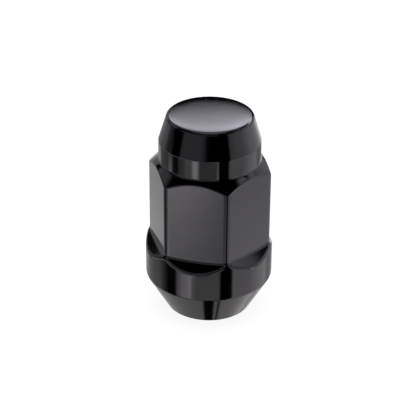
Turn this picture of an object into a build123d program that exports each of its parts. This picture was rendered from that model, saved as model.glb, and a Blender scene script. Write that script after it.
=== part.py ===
from build123d import *
from math import cos, radians, tan
import os

# Closed-end wheel nut of the bulge kind: one blank of steel, cold-formed, then tapped.
# It stands on its seat end with the closed head up. The origin is the centre of the
# seat end's face, and +Z runs along the axis of the thread. Radii from that axis are
# called sides.

# Whole nut
overall_length = 36.8
hex_sides = 6
hex_across_flats = 19.0
hex_corner_radius = 1.0

# Threaded hole, blind, open at the seat end
thread_diameter = 12.0
thread_pitch = 1.5
thread_depth_ratio = 1.0825
mouth_allowance = 0.9
mouth_angle = 90.0
closed_end_thickness = 4.7
drill_point_angle = 118.0

# Cone seat and the flat ring round the mouth
seat_angle = 60.0
seat_ring_width = 0.95
seat_ring_radius = 0.4

# Collar, the round bulge between the seat and the hexagon
collar_overhang = 0.31
collar_height = 6.78
collar_lower_radius = 0.7

# Shoulders, the six flat slopes from the foot of each hexagon face to the collar's side
shoulder_slope = 44.7
shoulder_foot_radius = 0.8
shoulder_edge_radius = 0.9

# Head: chamfer over the hexagon's corners, plain band, cone and crowned face
chamfer_slope = 45.0
chamfer_edge_radius = 0.3
chamfer_top_radius = 0.5
band_step = 0.69
band_height = 3.5
band_edge_radius = 0.4
head_cone_height = 4.6
head_cone_angle = 16.6
head_rim_radius = 0.65
crown_height = 0.15

# Sides that follow from the sizes above
hex_inradius = hex_across_flats / 2
hex_corner_side = hex_corner_radius + (hex_inradius - hex_corner_radius) / cos(radians(180 / hex_sides))
collar_side = hex_corner_side + collar_overhang
band_side = hex_inradius - band_step
rim_side = band_side - head_cone_height * tan(radians(head_cone_angle))
thread_minor_side = (thread_diameter - thread_depth_ratio * thread_pitch) / 2
mouth_side = (thread_diameter + mouth_allowance) / 2
seat_end_side = mouth_side + seat_ring_width

# Heights that follow from the sizes above
seat_height = (collar_side - seat_end_side) / tan(radians(seat_angle / 2))
shoulder_height = seat_height + collar_height
rim_height = overall_length - crown_height
band_top_height = rim_height - head_cone_height
chamfer_top_height = band_top_height - band_height
chamfer_arch_height = chamfer_top_height - band_step * tan(radians(chamfer_slope))
hole_top_height = overall_length - closed_end_thickness


def turned_blank():
    """The blank before its hexagon is formed, round all the way up."""
    chamfer_drop = (collar_side - band_side) * tan(radians(chamfer_slope))
    corners = [
        (seat_end_side, 0, seat_ring_radius),
        (collar_side, seat_height, collar_lower_radius),
        (collar_side, chamfer_top_height - chamfer_drop, 0),
        (band_side, chamfer_top_height, chamfer_top_radius),
        (band_side, band_top_height, band_edge_radius),
        (rim_side, rim_height, head_rim_radius),
    ]
    with BuildPart() as blank:
        with BuildSketch(Plane.YZ) as half_section:
            with BuildLine():
                Polyline((0, overall_length), (0, 0), *[(side, height) for side, height, _ in corners])
                TangentArc((0, overall_length), (rim_side, rim_height), tangent=(1, 0))
            make_face()
            for side, height, radius in corners:
                if radius > 0:
                    fillet(half_section.vertices().sort_by_distance((side, height, 0))[0], radius)
        revolve(axis=Axis.Z)
    return blank.part


def hexagon_envelope():
    """The die's hollow, open past both ends: a hexagonal bar that spreads at its foot into six shoulders."""
    past_end = 1.0
    with BuildPart() as envelope:
        with BuildSketch(Plane.XY.offset(shoulder_height)) as hexagon:
            RegularPolygon(hex_inradius, hex_sides, major_radius=False)
            fillet(hexagon.vertices(), hex_corner_radius)
        extrude(amount=overall_length - shoulder_height + past_end)
        extrude(hexagon.sketch, amount=-shoulder_height - past_end, taper=shoulder_slope - 90)
    return envelope.part


def curved_edges_between(solid, low, high):
    """The edges that aren't straight lines and whose middle lies between two heights."""
    return solid.edges().filter_by(GeomType.LINE, reverse=True).filter_by_position(Axis.Z, low, high)


def formed_blank():
    """The turned blank pressed to the die's hexagon, with every new edge rounded."""
    blank = turned_blank() & hexagon_envelope()
    margin = 0.01
    foot = blank.edges().filter_by_position(Axis.Z, shoulder_height - margin, shoulder_height + margin)
    blank = blank.fillet(shoulder_foot_radius, foot)
    collar = blank.faces().filter_by(GeomType.CYLINDER).sort_by(lambda face: face.radius)[-1]
    rim = curved_edges_between(collar, seat_height + collar_lower_radius, shoulder_height)
    blank = blank.fillet(shoulder_edge_radius, rim)
    arches = curved_edges_between(blank, shoulder_height + shoulder_foot_radius, chamfer_arch_height + margin)
    return blank.fillet(chamfer_edge_radius, arches)


def tapped_hole():
    """The blind hole at the thread's minor size, with its countersunk mouth and drilled end."""
    mouth_depth = (mouth_side - thread_minor_side) / tan(radians(mouth_angle / 2))
    point_length = thread_minor_side / tan(radians(drill_point_angle / 2))
    with BuildPart() as hole:
        with BuildSketch(Plane.YZ):
            with BuildLine():
                Polyline(
                    (0, 0),
                    (mouth_side, 0),
                    (thread_minor_side, mouth_depth),
                    (thread_minor_side, hole_top_height - point_length),
                    (0, hole_top_height),
                    close=True,
                )
            make_face()
        revolve(axis=Axis.Z)
    return hole.part


lug_nut = formed_blank() - tapped_hole()
os.makedirs("parts", exist_ok=True)
export_step(lug_nut, "parts/lug_nut.step")
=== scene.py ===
from math import atan2, cos, hypot, pi, radians, sin, tan

import bmesh
import bpy
from mathutils import Matrix, Vector


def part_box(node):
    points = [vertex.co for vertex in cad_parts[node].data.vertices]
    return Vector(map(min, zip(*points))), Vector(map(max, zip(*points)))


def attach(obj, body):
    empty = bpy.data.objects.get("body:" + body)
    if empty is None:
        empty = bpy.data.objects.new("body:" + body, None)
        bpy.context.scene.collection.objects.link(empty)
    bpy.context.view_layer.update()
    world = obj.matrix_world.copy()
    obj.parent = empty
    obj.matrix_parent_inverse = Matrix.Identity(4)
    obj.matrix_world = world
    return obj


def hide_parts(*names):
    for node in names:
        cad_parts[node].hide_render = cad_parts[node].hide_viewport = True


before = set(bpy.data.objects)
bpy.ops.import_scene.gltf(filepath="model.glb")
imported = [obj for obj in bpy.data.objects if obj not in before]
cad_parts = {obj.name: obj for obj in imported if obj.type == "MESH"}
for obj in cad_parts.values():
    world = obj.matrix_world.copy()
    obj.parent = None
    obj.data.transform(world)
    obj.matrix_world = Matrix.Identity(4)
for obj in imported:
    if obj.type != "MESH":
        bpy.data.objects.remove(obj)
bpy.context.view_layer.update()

# The nut starts as a turned blank of steel, round all the way up: cone seat, collar,
# chamfer, plain band, and a tapered head with a slightly crowned face. It is drawn as
# half a section, in millimetres, and spun. Sides are distances from its axis.
mm = 0.001
same_place = 0.001
nut_low, nut_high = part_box("lug_nut")
nut_length = (nut_high.z - nut_low.z) / mm
hex_sides = 6
face_angle = radians(60)
half_face = face_angle / 2
across_flats = 19.0
hex_corner_radius = 1.0
flat_side = across_flats / 2
corner_arc_centre = (flat_side - hex_corner_radius) / cos(half_face)
corner_side = corner_arc_centre + hex_corner_radius
collar_overhang = 0.31
collar_side = corner_side + collar_overhang
seat_end_side = 7.4
seat_half_angle = radians(30)
seat_height = (collar_side - seat_end_side) / tan(seat_half_angle)
collar_height = 6.78
shoulder_height = seat_height + collar_height
shoulder_slope = radians(44.7)
chamfer_slope = radians(45)
band_step = 0.69
band_side = flat_side - band_step
band_height = 3.5
head_height = 4.6
head_angle = radians(16.6)
crown_height = 0.15
rim_side = band_side - head_height * tan(head_angle)
rim_height = nut_length - crown_height
band_top = rim_height - head_height
chamfer_top = band_top - band_height
seat_ring_radius = 0.4
collar_lower_radius = 0.7
chamfer_top_radius = 0.5
band_edge_radius = 0.4
head_rim_radius = 0.65


def draw_section(points):
    """Draws a chain of edges through the points of a section, each a side and a height."""
    bpy.ops.object.select_all(action="DESELECT")
    bpy.ops.mesh.primitive_plane_add(size=1, location=(0, 0, 0))
    bpy.ops.object.mode_set(mode="EDIT")
    bpy.ops.mesh.select_mode(type="VERT")
    bpy.ops.mesh.select_all(action="SELECT")
    bpy.ops.mesh.merge(type="CENTER")
    side, height = points[0]
    bpy.ops.transform.translate(value=(side, 0, height))
    for (side, height), (next_side, next_height) in zip(points, points[1:]):
        step = (next_side - side, 0, next_height - height)
        bpy.ops.mesh.extrude_region_move(TRANSFORM_OT_translate={"value": step})


def round_corner(points, corner, radius, segments):
    """Rounds one corner of the section in edit mode."""
    at = points.index(corner)
    before = points[at - 1]
    after = points[at + 1]
    heading_in = atan2(corner[1] - before[1], corner[0] - before[0])
    heading_out = atan2(after[1] - corner[1], after[0] - corner[0])
    turn = abs((heading_out - heading_in + pi) % (2 * pi) - pi)
    bpy.ops.mesh.select_mode(type="VERT")
    bpy.ops.mesh.select_all(action="DESELECT")
    mesh = bmesh.from_edit_mesh(bpy.context.object.data)
    for vert in mesh.verts:
        vert.select_set(hypot(vert.co.x - corner[0], vert.co.z - corner[1]) < same_place)
    mesh.select_flush_mode()
    bmesh.update_edit_mesh(bpy.context.object.data)
    bpy.ops.mesh.bevel(offset=radius * tan(turn / 2), segments=segments, affect="VERTICES")


# Points stand in close rows where the die will press the blank: by the shoulders and the
# chamfer's arches, each with a little more than the die reaches.
scallop_reach = 2.9
foot_reach = 0.5
arch_margin = 0.25
press_foot = shoulder_height - scallop_reach
hexagon_foot = shoulder_height + foot_reach
arch_foot = chamfer_top + band_side - corner_side - arch_margin
press_top = chamfer_top + band_side - flat_side + arch_margin
shoulder_rows = 40
arch_rows = 32
seat_end_corner = (seat_end_side, 0)
collar_corner = (collar_side, seat_height)
band_foot = (band_side, chamfer_top)
band_shoulder = (band_side, band_top)
head_rim = (rim_side, rim_height)
section = [(0, 0), seat_end_corner, collar_corner]
for step in range(shoulder_rows + 1):
    section.append((collar_side, press_foot + (hexagon_foot - press_foot) * step / shoulder_rows))
for step in range(arch_rows + 1):
    height = arch_foot + (press_top - arch_foot) * step / arch_rows
    section.append((band_side + chamfer_top - height, height))
section += [band_foot, band_shoulder, head_rim]

# The crown falls slowly at first, as a square, and faster near its rim, as an eighth power.
crown_steps = 12
slow_fall = 0.55
fast_fall = 0.45
for step in range(crown_steps - 1, -1, -1):
    share = step / crown_steps
    fall = crown_height * (slow_fall * share**2 + fast_fall * share**8)
    section.append((rim_side * share, nut_length - fall))
draw_section(section)
round_corner(section, seat_end_corner, seat_ring_radius, segments=6)
round_corner(section, collar_corner, collar_lower_radius, segments=6)
round_corner(section, band_foot, chamfer_top_radius, segments=5)
round_corner(section, band_shoulder, band_edge_radius, segments=4)
round_corner(section, head_rim, head_rim_radius, segments=9)

# The spin has its meridians closer together round the hexagon's corners.
corner_steps = 8
face_steps = 44
corner_span = 2 * atan2(hex_corner_radius / 2, corner_arc_centre + hex_corner_radius * cos(half_face))
bpy.ops.mesh.select_all(action="SELECT")
bpy.ops.transform.rotate(value=corner_span / 2, orient_axis="Z", center_override=(0, 0, 0))
for _ in range(hex_sides):
    for steps, angle in ((corner_steps, corner_span), (face_steps, face_angle - corner_span)):
        bpy.ops.mesh.spin(steps=steps, angle=angle, center=(0, 0, 0), axis=(0, 0, 1), use_auto_merge=False)
bpy.ops.mesh.select_all(action="SELECT")
bpy.ops.mesh.remove_doubles(threshold=0.0005)
bpy.ops.mesh.normals_make_consistent(inside=False)
bpy.ops.object.mode_set(mode="OBJECT")
nut = bpy.context.object
nut.name = "black_chrome_nut"

# The blank is pressed in a hexagonal die whose mouth slopes outwards, which leaves six
# flats with arched tops and six sloping shoulders that meet the collar in scallops.
# Each point of the blank's side is pushed in to the die, with the die's own radii.
foot_radius = 0.8
scallop_radius = 0.9
arch_radius = 0.3
half_flat = flat_side * tan(half_face)
arc_start = (flat_side - hex_corner_radius) * tan(half_face)

# The flats bulge and the shoulders are hollow. A level is the share of that depth which the
# middle takes, and the edges take the rest.
flat_crown = 0.05
crown_level = 0.4
shoulder_hollow = 0.16
hollow_level = 0.5


def rounded_larger(one, other, radius, bend):
    """The larger of two depths, with the edge between their surfaces rounded."""
    reach = radius * tan(bend / 2) * sin(bend)
    if min(one, other) <= -reach:
        return max(one, other)
    return hypot(one + reach, other + reach) - reach


def past_die(side, turn, height):
    """How far a point lies outside the pressed nut; turn is its angle from the nearest flat's middle."""
    across = side * cos(turn)
    along = side * sin(abs(turn))
    if along > arc_start:
        past_hexagon = hypot(across - flat_side + hex_corner_radius, along - arc_start) - hex_corner_radius
        past_hexagon = max(past_hexagon, across - flat_side)
    else:
        past_hexagon = across - flat_side
    past_shoulder = (past_hexagon - (shoulder_height - height) / tan(shoulder_slope)) * sin(shoulder_slope)
    past_shoulder -= shoulder_hollow * ((along / half_flat) ** 2 - hollow_level)
    past_hexagon += flat_crown * ((along / half_flat) ** 2 - crown_level)
    past_mouth = -rounded_larger(-past_hexagon, -past_shoulder, foot_radius, pi / 2 - shoulder_slope)
    past_collar = rounded_larger(past_mouth, side - collar_side, scallop_radius, pi / 2 - shoulder_slope)
    past_chamfer = (side - band_side + height - chamfer_top) * sin(chamfer_slope)
    return rounded_larger(past_collar, past_chamfer, arch_radius, chamfer_slope)


# The die's surface is found between the blank's side and a safe depth, by halving.
safe_depth = 1
halvings = 24
for vert in nut.data.vertices:
    side = hypot(vert.co.x, vert.co.y)
    height = vert.co.z
    if press_foot - same_place < height < press_top + same_place:
        turn = (atan2(vert.co.x, -vert.co.y) + half_face) % face_angle - half_face
        inner = flat_side - safe_depth
        outer = side
        if past_die(outer, turn, height) > 0:
            for _ in range(halvings):
                middle = (inner + outer) / 2
                if past_die(middle, turn, height) > 0:
                    outer = middle
                else:
                    inner = middle
        vert.co.x *= outer / side
        vert.co.y *= outer / side

# The blind hole is drilled from the seat end, countersunk, and tapped M12 x 1.5. The
# tap's lead leaves the last threads shallower, with a plain drilled end above them.
thread_side = 6.0
thread_pitch = 1.5
flank_half_angle = radians(30)
drill_side = 5.188
drill_height = 32.1
drill_point = radians(118)
mouth_side = 6.45
lead_side = 5.1
lead_height = 26.5
lead_slope = 0.25
hole_steps = 144

# The tools start below the seat end at heights of their own, so that no two share a face,
# and each is turned by its own part of a step, so that no two share a meridian.
drill_foot = -1.4
tap_foot = -1.1
lead_foot = -2.0
sink_foot = -1.0
point_foot = drill_height - drill_side / tan(drill_point / 2)
draw_section([(0, drill_foot), (drill_side, drill_foot), (drill_side, point_foot), (0, drill_height)])
bpy.ops.mesh.select_all(action="SELECT")
bpy.ops.transform.rotate(value=pi / hole_steps, orient_axis="Z", center_override=(0, 0, 0))
bpy.ops.mesh.spin(steps=hole_steps, angle=2 * pi, center=(0, 0, 0), axis=(0, 0, 1))
bpy.ops.mesh.select_all(action="SELECT")
bpy.ops.mesh.remove_doubles(threshold=0.001)
bpy.ops.mesh.normals_make_consistent(inside=False)
bpy.ops.object.mode_set(mode="OBJECT")
drill = bpy.context.object

# The tap is the thread's zigzag section, screwed up by one pitch in one turn. It is longer
# than the thread at both ends and trimmed.
gap_side = 5.05
flank_rise = (thread_side - gap_side) * tan(flank_half_angle)
crest_width = thread_pitch / 8
first_turn = -2
last_turn = 19
thread = []
for turn in range(first_turn, last_turn):
    foot = turn * thread_pitch
    crest = foot + flank_rise
    thread += [(gap_side, foot), (thread_side, crest), (thread_side, crest + crest_width)]
    thread.append((gap_side, crest + crest_width + flank_rise))
thread.append((gap_side, last_turn * thread_pitch))
draw_section(thread)
bpy.ops.object.mode_set(mode="OBJECT")
tap = bpy.context.object
helix = tap.modifiers.new("helix", "SCREW")
helix.angle = 2 * pi
helix.screw_offset = thread_pitch
helix.steps = hole_steps
helix.render_steps = hole_steps
bpy.ops.object.modifier_apply(modifier=helix.name)
bpy.ops.object.mode_set(mode="EDIT")
bpy.ops.mesh.select_all(action="SELECT")
bpy.ops.mesh.remove_doubles(threshold=0.001)
past_lead = 0.5
for end, below in ((tap_foot, True), (lead_height + past_lead, False)):
    bpy.ops.mesh.select_all(action="SELECT")
    bpy.ops.mesh.bisect(
        plane_co=(0, 0, end),
        plane_no=(0, 0, 1),
        use_fill=True,
        clear_inner=below,
        clear_outer=not below,
        threshold=0.0001,
    )
bpy.ops.mesh.select_all(action="SELECT")
bpy.ops.mesh.normals_make_consistent(inside=False)
bpy.ops.object.mode_set(mode="OBJECT")


def cut(body, tool, operation):
    """Applies one Boolean to the body and removes the tool."""
    bpy.ops.object.select_all(action="DESELECT")
    body.select_set(True)
    bpy.context.view_layer.objects.active = body
    modifier = body.modifiers.new("cut", "BOOLEAN")
    modifier.operation = operation
    modifier.solver = "EXACT"
    modifier.object = tool
    bpy.ops.object.modifier_apply(modifier=modifier.name)
    bpy.data.objects.remove(tool)


bpy.ops.mesh.primitive_cone_add(
    vertices=hole_steps,
    radius1=lead_side + lead_slope * (lead_height - lead_foot),
    radius2=lead_side,
    depth=lead_height - lead_foot,
    location=(0, 0, (lead_height + lead_foot) / 2),
    rotation=(0, 0, pi / hole_steps / 2),
)
lead = bpy.context.object
bpy.ops.object.transform_apply(location=True, rotation=True, scale=True)
cut(tap, lead, "INTERSECT")

# The countersink's cone has an angle of 90 degrees, so its side changes as its height does.
sink_depth = 3.0
bpy.ops.mesh.primitive_cone_add(
    vertices=2 * hole_steps,
    radius1=mouth_side - sink_foot,
    radius2=mouth_side - sink_foot - sink_depth,
    depth=sink_depth,
    location=(0, 0, sink_depth / 2 + sink_foot),
    rotation=(0, 0, pi / hole_steps / 3),
)
countersink = bpy.context.object
bpy.ops.object.transform_apply(location=True, rotation=True, scale=True)
cut(drill, tap, "UNION")
cut(drill, countersink, "UNION")
cut(nut, drill, "DIFFERENCE")
bpy.ops.object.mode_set(mode="EDIT")
bpy.ops.mesh.select_all(action="SELECT")
bpy.ops.mesh.remove_doubles(threshold=0.004)
bpy.ops.object.mode_set(mode="OBJECT")

# The nut is brought to metres and smoothed, and its large faces keep their own normals.
nut.scale = (mm, mm, mm)
bpy.ops.object.transform_apply(location=False, rotation=False, scale=True)
bpy.ops.object.shade_smooth_by_angle(angle=radians(35))
weighted = nut.modifiers.new("weighted", "WEIGHTED_NORMAL")
weighted.keep_sharp = True
weighted.weight = 100
bpy.ops.object.modifier_apply(modifier=weighted.name)

# The plating is black chrome over the polished steel: a dark mirror with a slight lilac
# cast, not quite even, over a blank that was tumbled smooth. The hole is tapped after the
# forming and hardly plated, so its wall is duller and a little browner.
chrome = bpy.data.materials.new("black_chrome")
chrome.use_nodes = True
chrome_tree = chrome.node_tree
shader = chrome_tree.nodes["Principled BSDF"]
shader.inputs["Metallic"].default_value = 1.0

# Mottle is soft noise over a surface, with about as many blotches to the metre as its
# scale says. It is one group of nodes that each material places with its own values.
mottle_group = bpy.data.node_groups.new("mottle", "ShaderNodeTree")
group_start = mottle_group.nodes.new("NodeGroupInput")
group_end = mottle_group.nodes.new("NodeGroupOutput")
noise = mottle_group.nodes.new("ShaderNodeTexNoise")
for name in ("Scale", "Detail", "Roughness"):
    mottle_group.interface.new_socket(name=name, in_out="INPUT", socket_type="NodeSocketFloat")
    mottle_group.links.new(group_start.outputs[name], noise.inputs[name])
mottle_group.interface.new_socket(name="Mask", in_out="OUTPUT", socket_type="NodeSocketFloat")
mottle_group.links.new(noise.outputs["Fac"], group_end.inputs["Mask"])
on_surface = mottle_group.nodes.new("ShaderNodeTexCoord")
mottle_group.links.new(on_surface.outputs["Object"], noise.inputs["Vector"])


def mottle(tree, scale, detail, roughness=0.5):
    """Places the mottle group in a material and gives its mask."""
    group = tree.nodes.new("ShaderNodeGroup")
    group.node_tree = mottle_group
    group.inputs["Scale"].default_value = scale
    group.inputs["Detail"].default_value = detail
    group.inputs["Roughness"].default_value = roughness
    return group.outputs["Mask"]


def between(tree, mask, low, high, first, second):
    """A value that passes smoothly from the first to the second while the mask goes from low to high."""
    step = tree.nodes.new("ShaderNodeMapRange")
    step.interpolation_type = "SMOOTHSTEP"
    tree.links.new(mask, step.inputs["Value"])
    for name, value in (("From Min", low), ("From Max", high), ("To Min", first), ("To Max", second)):
        step.inputs[name].default_value = value
    return step.outputs["Result"]


def blend_colours(tree, mask, first, second):
    """Mixes two colours by a mask; either can be a colour or another node's output."""
    mix = tree.nodes.new("ShaderNodeMix")
    mix.data_type = "RGBA"
    tree.links.new(mask, mix.inputs["Factor"])
    for socket, colour in ((mix.inputs["A"], first), (mix.inputs["B"], second)):
        if isinstance(colour, tuple):
            socket.default_value = (*colour, 1)
        else:
            tree.links.new(colour, socket)
    return mix.outputs["Result"]


def calculate(tree, operation, first, second):
    """One step of arithmetic in the node tree."""
    sum_node = tree.nodes.new("ShaderNodeMath")
    sum_node.operation = operation
    for socket, value in zip(sum_node.inputs, (first, second)):
        if isinstance(value, (int, float)):
            socket.default_value = value
        else:
            tree.links.new(value, socket)
    return sum_node.outputs[0]


# Inside the hole means closer to the axis than its mouth, and below the closed end, which
# starts a little over the drilled point.
mouth_fade = 0.15
closed_end_foot = 33.0
closed_end_clear = 34.0
place = chrome_tree.nodes.new("ShaderNodeTexCoord")
parts_of_place = chrome_tree.nodes.new("ShaderNodeSeparateXYZ")
chrome_tree.links.new(place.outputs["Object"], parts_of_place.inputs[0])
x_place, y_place, height_place = parts_of_place.outputs
x_squared = calculate(chrome_tree, "MULTIPLY", x_place, x_place)
y_squared = calculate(chrome_tree, "MULTIPLY", y_place, y_place)
side_place = calculate(chrome_tree, "SQRT", calculate(chrome_tree, "ADD", x_squared, y_squared), 0.0)
near_axis = between(
    chrome_tree, side_place, (mouth_side - mouth_fade) * mm, (mouth_side + mouth_fade) * mm, 1.0, 0.0
)
below_end = between(chrome_tree, height_place, closed_end_foot * mm, closed_end_clear * mm, 1.0, 0.0)
in_hole = calculate(chrome_tree, "MULTIPLY", near_axis, below_end)

plating_tones = ((0.0865, 0.0840, 0.0868), (0.0955, 0.0925, 0.0955))
steel_tones = ((0.135, 0.130, 0.124), (0.185, 0.178, 0.168))
plating = blend_colours(chrome_tree, mottle(chrome_tree, scale=230.0, detail=3.0), *plating_tones)
bare_steel = blend_colours(chrome_tree, mottle(chrome_tree, scale=900.0, detail=4.0), *steel_tones)
metal_colour = blend_colours(chrome_tree, in_hole, plating, bare_steel)
chrome_tree.links.new(metal_colour, shader.inputs["Base Color"])

# The plating's roughness changes a little from place to place, and the tapped wall's more.
finest_polish = 0.070
dullest_polish = 0.095
finest_wall = 0.30
dullest_wall = 0.42
polish_mottle = mottle(chrome_tree, scale=650.0, detail=4.0, roughness=0.6)
polish = between(chrome_tree, polish_mottle, 0.35, 0.65, finest_polish, dullest_polish)
wall_mottle = mottle(chrome_tree, scale=1800.0, detail=3.0)
wall = between(chrome_tree, wall_mottle, 0.3, 0.7, finest_wall, dullest_wall)
hole_share = calculate(chrome_tree, "MULTIPLY", in_hole, calculate(chrome_tree, "SUBTRACT", wall, polish))
chrome_tree.links.new(calculate(chrome_tree, "ADD", polish, hole_share), shader.inputs["Roughness"])

# The blank is never quite even: a slow wave from the forming, and the plating's fine peel.
wave_depth = 0.006
peel_depth = 0.0006
wave = chrome_tree.nodes.new("ShaderNodeBump")
wave.inputs["Strength"].default_value = 1.0
wave.inputs["Distance"].default_value = wave_depth * mm
chrome_tree.links.new(mottle(chrome_tree, scale=260.0, detail=1.0), wave.inputs["Height"])
peel = chrome_tree.nodes.new("ShaderNodeBump")
peel.inputs["Strength"].default_value = 1.0
peel.inputs["Distance"].default_value = peel_depth * mm
chrome_tree.links.new(mottle(chrome_tree, scale=2600.0, detail=2.0), peel.inputs["Height"])
chrome_tree.links.new(wave.outputs["Normal"], peel.inputs["Normal"])
chrome_tree.links.new(peel.outputs["Normal"], shader.inputs["Normal"])
nut.data.materials.clear()
nut.data.materials.append(chrome)

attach(nut, "root")
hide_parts("lug_nut")

# The nut stands on a sheet of white paper, lit until it is nearly pure white. It is a
# backdrop and no part of the nut, it shows only from above, and the polished metal shows
# the studio's own ground instead of it.
floor_radius = 3.0
paper_roughness = 0.9
paper_glow = 0.90
paper_tones = ((0.110, 0.110, 0.108), (0.118, 0.118, 0.118))
bpy.ops.object.select_all(action="DESELECT")
bpy.ops.mesh.primitive_circle_add(vertices=96, radius=floor_radius, fill_type="NGON", location=(0, 0, 0))
floor = bpy.context.object
floor.name = "pale_floor"
floor.visible_glossy = False
paper = bpy.data.materials.new("pale_paper")
paper.use_nodes = True
paper_tree = paper.node_tree
sheet = paper_tree.nodes["Principled BSDF"]
sheet.inputs["Roughness"].default_value = paper_roughness
sheet.inputs["Specular IOR Level"].default_value = 0.0
paper_colour = blend_colours(paper_tree, mottle(paper_tree, scale=120.0, detail=3.0), *paper_tones)
paper_tree.links.new(paper_colour, sheet.inputs["Base Color"])
sheet.inputs["Emission Color"].default_value = (1, 1, 1, 1)
sheet.inputs["Emission Strength"].default_value = paper_glow
see_through = paper_tree.nodes.new("ShaderNodeBsdfTransparent")
side_seen = paper_tree.nodes.new("ShaderNodeNewGeometry")
two_sides = paper_tree.nodes.new("ShaderNodeMixShader")
paper_tree.links.new(side_seen.outputs["Backfacing"], two_sides.inputs[0])
paper_tree.links.new(sheet.outputs[0], two_sides.inputs[1])
paper_tree.links.new(see_through.outputs[0], two_sides.inputs[2])
paper_tree.links.new(two_sides.outputs[0], paper_tree.nodes["Material Output"].inputs["Surface"])
floor.data.materials.append(paper)

# The studio is a dark tent with soft white panels hung round it and black gaps between
# them, because polished metal shows only what stands about it. A direction is given by
# its azimuth, from the front towards the right, and its height over the horizon.
world = bpy.data.worlds.new("studio")
bpy.context.scene.world = world
world.use_nodes = True
tent = world.node_tree
tent.nodes.clear()
direction = tent.nodes.new("ShaderNodeTexCoord")
parts_of_direction = tent.nodes.new("ShaderNodeSeparateXYZ")
tent.links.new(direction.outputs["Generated"], parts_of_direction.inputs[0])
x_way, y_way, z_way = parts_of_direction.outputs
elevation = calculate(tent, "ARCSINE", z_way, 0.0)
azimuth = calculate(tent, "ARCTAN2", x_way, calculate(tent, "MULTIPLY", y_way, -1.0))


def patch(sides, side_fades, heights, height_fades):
    """A soft-edged patch of the studio's wall, from 0 outside to 1 inside, with its limits in degrees."""
    middle = radians(sum(sides) / 2)
    half = radians((sides[1] - sides[0]) / 2)
    wrapped = tent.nodes.new("ShaderNodeMath")
    wrapped.operation = "WRAP"
    tent.links.new(calculate(tent, "SUBTRACT", azimuth, middle), wrapped.inputs[0])
    wrapped.inputs[1].default_value = pi
    wrapped.inputs[2].default_value = -pi
    share = 1.0
    for value, limits, fades in (
        (wrapped.outputs[0], (-half, half), side_fades),
        (elevation, tuple(radians(height) for height in heights), height_fades),
    ):
        low_fade = radians(fades[0]) / 2
        high_fade = radians(fades[1]) / 2
        rise = between(tent, value, limits[0] - low_fade, limits[0] + low_fade, 0.0, 1.0)
        fall = between(tent, value, limits[1] - high_fade, limits[1] + high_fade, 1.0, 0.0)
        share = calculate(tent, "MULTIPLY", share, calculate(tent, "MULTIPLY", rise, fall))
    return share


# A panel is a pair of azimuths and the widths of their fades, a pair of heights and the
# widths of theirs, all in degrees, and its brightness.
all_round = (-179.99, 179.99)
no_fade = (0.01, 0.01)
light = 0.0
for sides, side_fades, heights, height_fades, strength in [
    (all_round, no_fade, (-95, -31), (1, 8), 0.47),  # ground
    ((88, 176), (44, 20), (-90, -40), (4, 14), 0.09),  # ground to the right
    (all_round, no_fade, (-32, -5), (6, 14), 0.22),  # ground near the horizon
    ((-40, -18), (16, 2), (-44, -30), (12, 3), 0.58),  # ground at the front left
    ((-44, -10), (14, 8), (-28, -6), (5, 14), 0.32),  # low at the front left
    ((-54, 2), (14, 22), (-10, 12), (10, 16), 0.21),  # wall at the front left
    ((-60, -2), (14, 14), (32, 45), (10, 10), 0.06),  # haze high at the front left
    ((-25, -12.4), (8, 10), (-29.5, -25), (9, 3), 1.2),  # small panel for the middle flat
    ((58, 176), (8, 20), (-60, 30), (18, 22), 0.29),  # wall on the right
    ((70, 130), (20, 30), (-16, 20), (14, 16), 0.11),  # middle of the wall on the right
    ((102, 164), (34, 24), (-46, 34), (24, 8), 0.28),  # far end of the wall on the right
    ((110, 124), (3, 8), (28, 38.6), (5, 2), 0.32),  # small panel for the right shoulder
    ((89, 124), (16, 12), (38.9, 50), (1, 6), 0.52),  # panel for the chamfer's right
    ((94, 99.2), (2, 2), (-24, -12), (3, 3), 1.7),  # lamp for the collar's right
    ((-146, -128), (8, 8), (-30.5, -24), (2, 3), 0.33),  # small panel for the left flat
    ((-156, -112), (14, 40), (-16, 24), (20, 16), 0.36),  # wall on the left
    ((-140, -84), (20, 14), (8, 40), (20, 10), 0.29),  # higher on the wall on the left
    ((-215, -152), (30, 10), (26.4, 33.2), (9, 9), 3.15),  # bright panel behind, for the top
    ((-215, -167.5), (30, 5), (25, 34), (8, 10), 0.6),  # more of it on its right
    ((-215, -120), (30, 30), (36, 80), (10, 14), 0.4),  # high behind
    (all_round, no_fade, (68, 95), (12, 1), 0.34),  # overhead
    ((-200, -150), (14, 8), (-25, -8), (2, 8), 0.5),  # low light behind
    ((-108, -84), (6, 14), (-25, -10), (2, 8), 0.48),  # low light on the left
    ((-84, -46), (8, 8), (-25, -10), (2, 6), 0.45),  # low light on the near left
    ((14, 34), (8, 4), (-25, -9), (2, 6), 0.42),  # low light at the front right
    ((60, 88), (10, 10), (-25, -12), (2, 6), 0.25),  # low light on the right
    ((-70, 34), (16, 6), (15, 38), (8, 10), 0.2),  # haze at the front
]:
    shine = calculate(tent, "MULTIPLY", patch(sides, side_fades, heights, height_fades), strength)
    light = calculate(tent, "ADD", light, shine)

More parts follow.
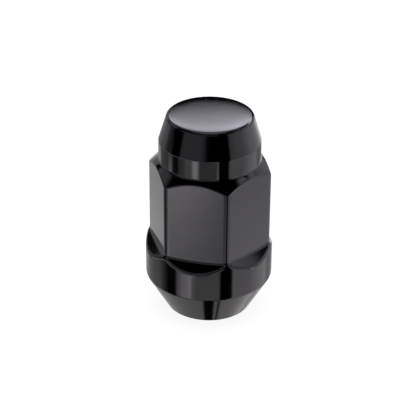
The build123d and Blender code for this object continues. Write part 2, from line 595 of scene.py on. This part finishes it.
# A gap is given like a panel, and its last number is the share of the light that it takes.
for sides, side_fades, heights, height_fades, depth in [
    ((-76.5, -54), (7, 8), (-5, 13), (8, 6), 0.99),  # gap on the left
    ((-78, -48), (32, 6), (-60, -29.5), (20, 2), 0.99),  # lower on the left, for the collar
    ((-78, -60), (14, 8), (-29.5, -26.2), (2, 1.6), 0.95),  # low on the left, for the band
    ((34, 57), (5, 5), (-60, 16), (20, 8), 0.99),  # gap on the right
    ((142, 172), (20, 8), (-50, -22), (10, 4), 0.6),  # low on the far right
    ((-192, -158), (8, 8), (-8, 22), (8, 1.2), 0.98),  # gap behind
    ((101.5, 109.8), (3, 3), (33.5, 38.3), (3, 1), 0.98),  # dark spot for the right shoulder
    ((-126, -110), (5, 5), (9.5, 19), (3, 3), 0.96),  # dark spot for the left shoulder
    ((-14, 36), (16, 8), (-66, -50), (6, 6), 0.55),  # ground in front, for the seat
]:
    shade = calculate(tent, "MULTIPLY", patch(sides, side_fades, heights, height_fades), depth)
    light = calculate(tent, "MULTIPLY", light, calculate(tent, "SUBTRACT", 1.0, shade))

# Two black strips on the ground in front run towards the nut, and show in its cone seat.
# Their edges and fades are shares of the direction's length, across the strips.
strips_turn = radians(13.7)
strips_full = -0.94
strips_gone = -0.82
across_x = calculate(tent, "MULTIPLY", x_way, cos(strips_turn))
across_strips = calculate(tent, "ADD", across_x, calculate(tent, "MULTIPLY", y_way, sin(strips_turn)))
underfoot = between(tent, z_way, strips_full, strips_gone, 1.0, 0.0)
for edges, fades, depth in (((-0.075, 0.08), (0.05, 0.04), 0.98), ((0.112, 0.155), (0.03, 0.05), 0.85)):
    rise = between(tent, across_strips, edges[0] - fades[0] / 2, edges[0] + fades[0] / 2, 0.0, depth)
    fall = between(tent, across_strips, edges[1] - fades[1] / 2, edges[1] + fades[1] / 2, 1.0, 0.0)
    strip = calculate(tent, "MULTIPLY", underfoot, calculate(tent, "MULTIPLY", rise, fall))
    light = calculate(tent, "MULTIPLY", light, calculate(tent, "SUBTRACT", 1.0, strip))

# The light from the ground is a little warmer than the light from above.
low_tint = (1.04, 1.02, 1.03)
high_tint = (0.99, 0.99, 1.08)
tint_share = between(tent, elevation, radians(-50), radians(30), 0.0, 1.0)
lit = tent.nodes.new("ShaderNodeVectorMath")
lit.operation = "SCALE"
tent.links.new(blend_colours(tent, tint_share, low_tint, high_tint), lit.inputs[0])
tent.links.new(light, lit.inputs["Scale"])

# The camera itself sees plain white behind the nut.
path = tent.nodes.new("ShaderNodeLightPath")
seen = tent.nodes.new("ShaderNodeVectorMath")
seen.operation = "MAXIMUM"
tent.links.new(lit.outputs[0], seen.inputs[0])
tent.links.new(path.outputs["Is Camera Ray"], seen.inputs[1])
background = tent.nodes.new("ShaderNodeBackground")
tent.links.new(seen.outputs[0], background.inputs["Color"])
world_end = tent.nodes.new("ShaderNodeOutputWorld")
tent.links.new(background.outputs[0], world_end.inputs["Surface"])

# A soft box overhead lights the paper, and the metal doesn't show it.
bpy.ops.object.light_add(type="AREA", location=(0, 0, 0.8))
soft_box = bpy.context.object
soft_box.data.size = 1.2
soft_box.data.energy = 14.0
soft_box.visible_glossy = False

# The camera looks down on the nut from the front and a little to the right, as in the
# photograph, through a long lens.
camera_azimuth = radians(13.7)
camera_elevation = radians(29.0)
camera_roll = radians(0.54)
camera_distance = 0.2837
aim_right = 0.12 * mm
aim_height = 18.17 * mm
aim = Vector((aim_right * cos(camera_azimuth), aim_right * sin(camera_azimuth), aim_height))
turned = Matrix.Rotation(camera_azimuth, 4, "Z") @ Matrix.Rotation(pi / 2 - camera_elevation, 4, "X")
rolled = Matrix.Translation((0, 0, camera_distance)) @ Matrix.Rotation(camera_roll, 4, "Z")
bpy.ops.object.camera_add()
camera = bpy.context.object
camera.matrix_world = Matrix.Translation(aim) @ turned @ rolled
camera.data.lens = 139.36
camera.data.clip_start = 0.01
bpy.context.scene.camera = camera
bpy.context.scene.view_settings.view_transform = "Standard"
